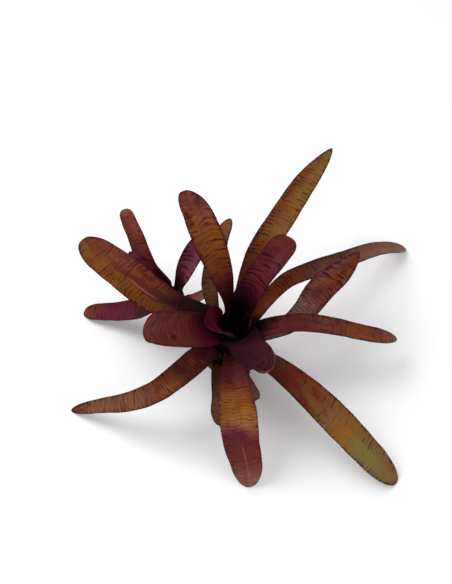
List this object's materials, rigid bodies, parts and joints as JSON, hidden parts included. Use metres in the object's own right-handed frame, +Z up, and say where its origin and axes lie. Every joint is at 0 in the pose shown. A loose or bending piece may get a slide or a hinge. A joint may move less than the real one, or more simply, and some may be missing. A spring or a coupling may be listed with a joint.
{
  "type": "bromeliad plant",
  "caption": "Banded neoregelia rosette with strap leaves round a central cup and a smaller side rosette on a short runner, lifted from its pot.",
  "frame": {"origin": "centre of the mother stem's flat cut end, on the surface where the plant rests", "axes": "+Z up along the mother rosette's axis, +Y away from the side where the short broad leaf curls over, +X to the right of it"},
  "size_m": [0.3447, 0.3018, 0.1542],
  "materials": {
    "leaf": "waxy, semi-gloss, banded",
    "inner_leaf": "waxy, semi-gloss, finely banded",
    "heart_leaf": "waxy, semi-gloss",
    "old_leaf": "dull, drying",
    "pup_leaf": "waxy, semi-gloss, banded",
    "stem": "rough, dry"
  },
  "bodies": {
    "root": {"stem_and_stolon": "stem", "leaf_heart_left": "heart_leaf", "leaf_heart_right": "heart_leaf", "leaf_inner_front": "inner_leaf", "leaf_inner_back": "inner_leaf", "leaf_inner_left": "inner_leaf", "leaf_upper_left": "leaf", "leaf_right": "leaf", "leaf_left": "leaf", "leaf_upper_right": "leaf", "leaf_front": "leaf", "leaf_back_right": "leaf", "leaf_front_left": "leaf", "leaf_lower_right": "leaf", "leaf_back": "leaf", "leaf_front_right": "leaf", "leaf_old_right": "old_leaf", "leaf_old_left": "old_leaf", "pup_leaf_inner": "pup_leaf", "pup_leaf_heart": "pup_leaf", "pup_leaf_back": "pup_leaf", "pup_leaf_right": "pup_leaf", "pup_leaf_left": "pup_leaf", "pup_leaf_front": "pup_leaf"}
  },
  "joints": []
}
